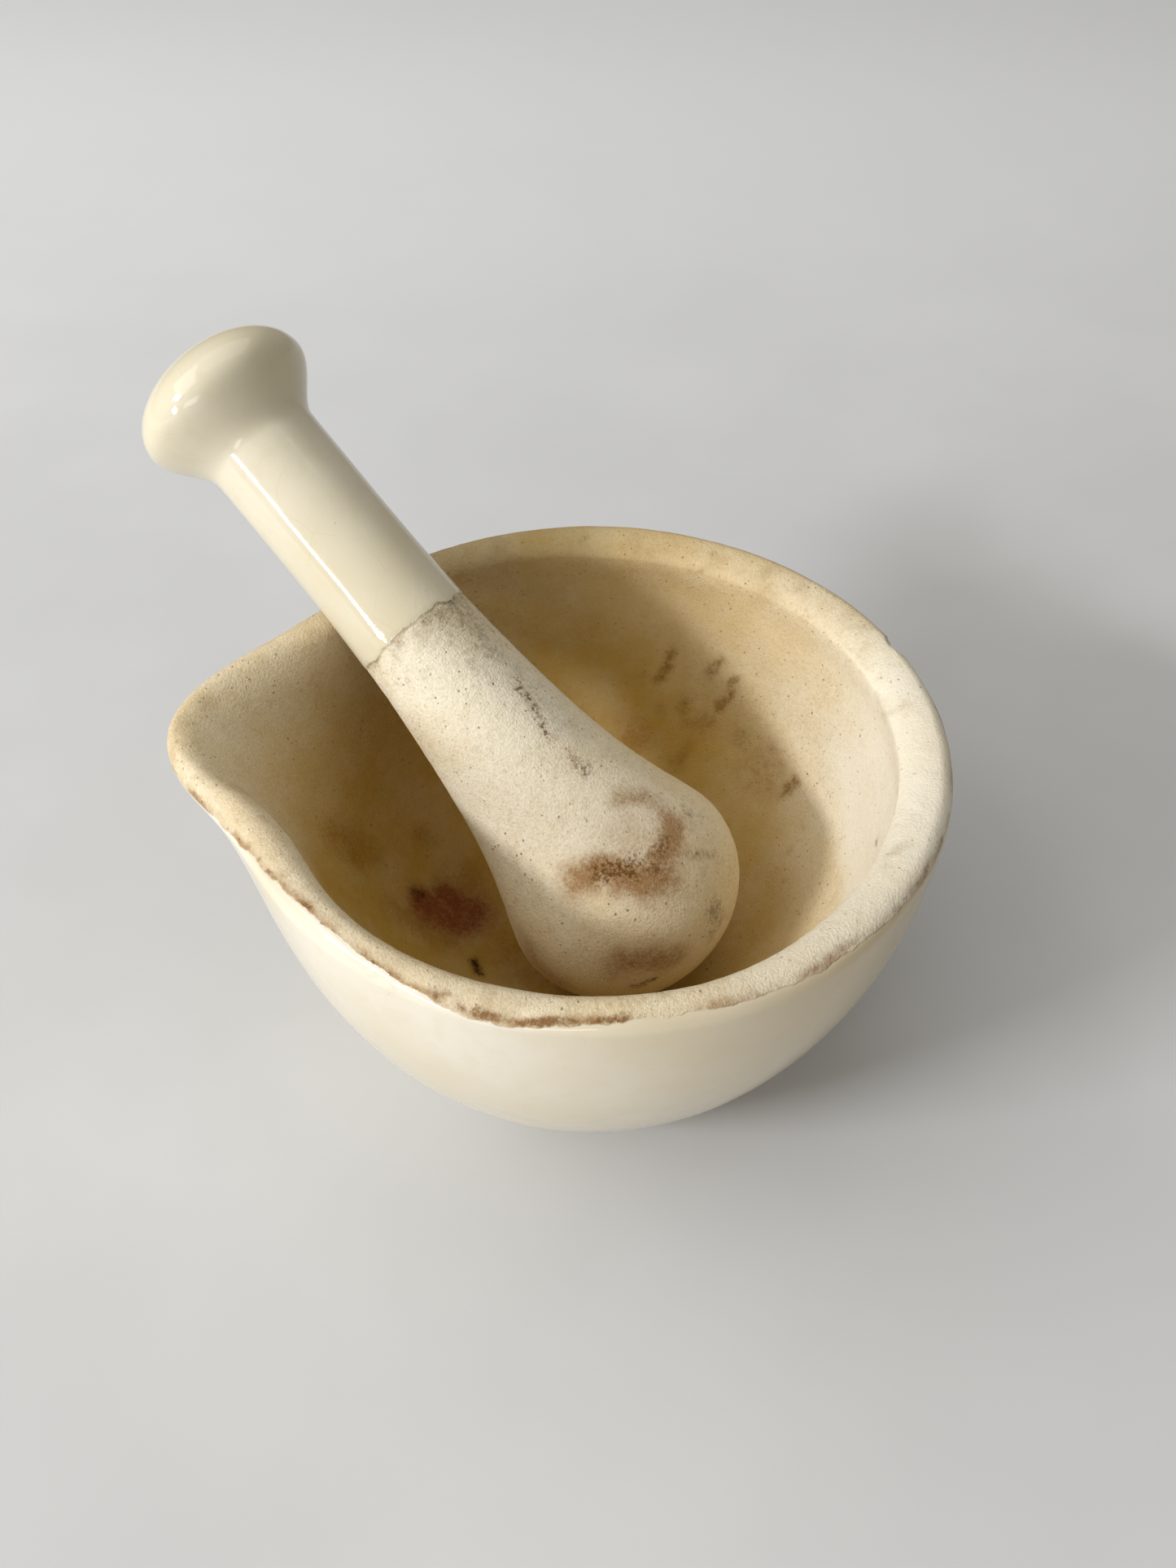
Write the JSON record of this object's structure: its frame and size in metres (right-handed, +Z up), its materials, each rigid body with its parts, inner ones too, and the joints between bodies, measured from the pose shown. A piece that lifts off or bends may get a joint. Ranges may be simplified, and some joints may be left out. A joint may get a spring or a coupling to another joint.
{
  "type": "mortar and pestle",
  "caption": "Small round ceramic grinding bowl with a pulled pouring spout, and a loose pestle with a domed knob and a pear-shaped head leaning in it.",
  "frame": {"origin": "centre of the mortar's flat base, on the bowl's round axis, on the surface it stands on", "axes": "+Z up along the bowl's axis; -X towards the pouring spout; the pestle's knob leans out over the rim between -X and +Y"},
  "size_m": [0.1059, 0.0902, 0.0849],
  "materials": {
    "mortar_ceramic": "glossy warm white glaze outside, bare cream biscuit inside and on the rim",
    "pestle_ceramic": "glossy cream glaze on the handle, bare speckled biscuit on the head"
  },
  "bodies": {
    "mortar": {"mortar": "mortar_ceramic"},
    "pestle": {"pestle": "pestle_ceramic"}
  },
  "joints": [
    {"name": "pestle_lift", "type": "slide", "parent": "mortar", "child": "pestle", "axis": [0, 0, 1], "range_m": [0, 0.06]}
  ]
}
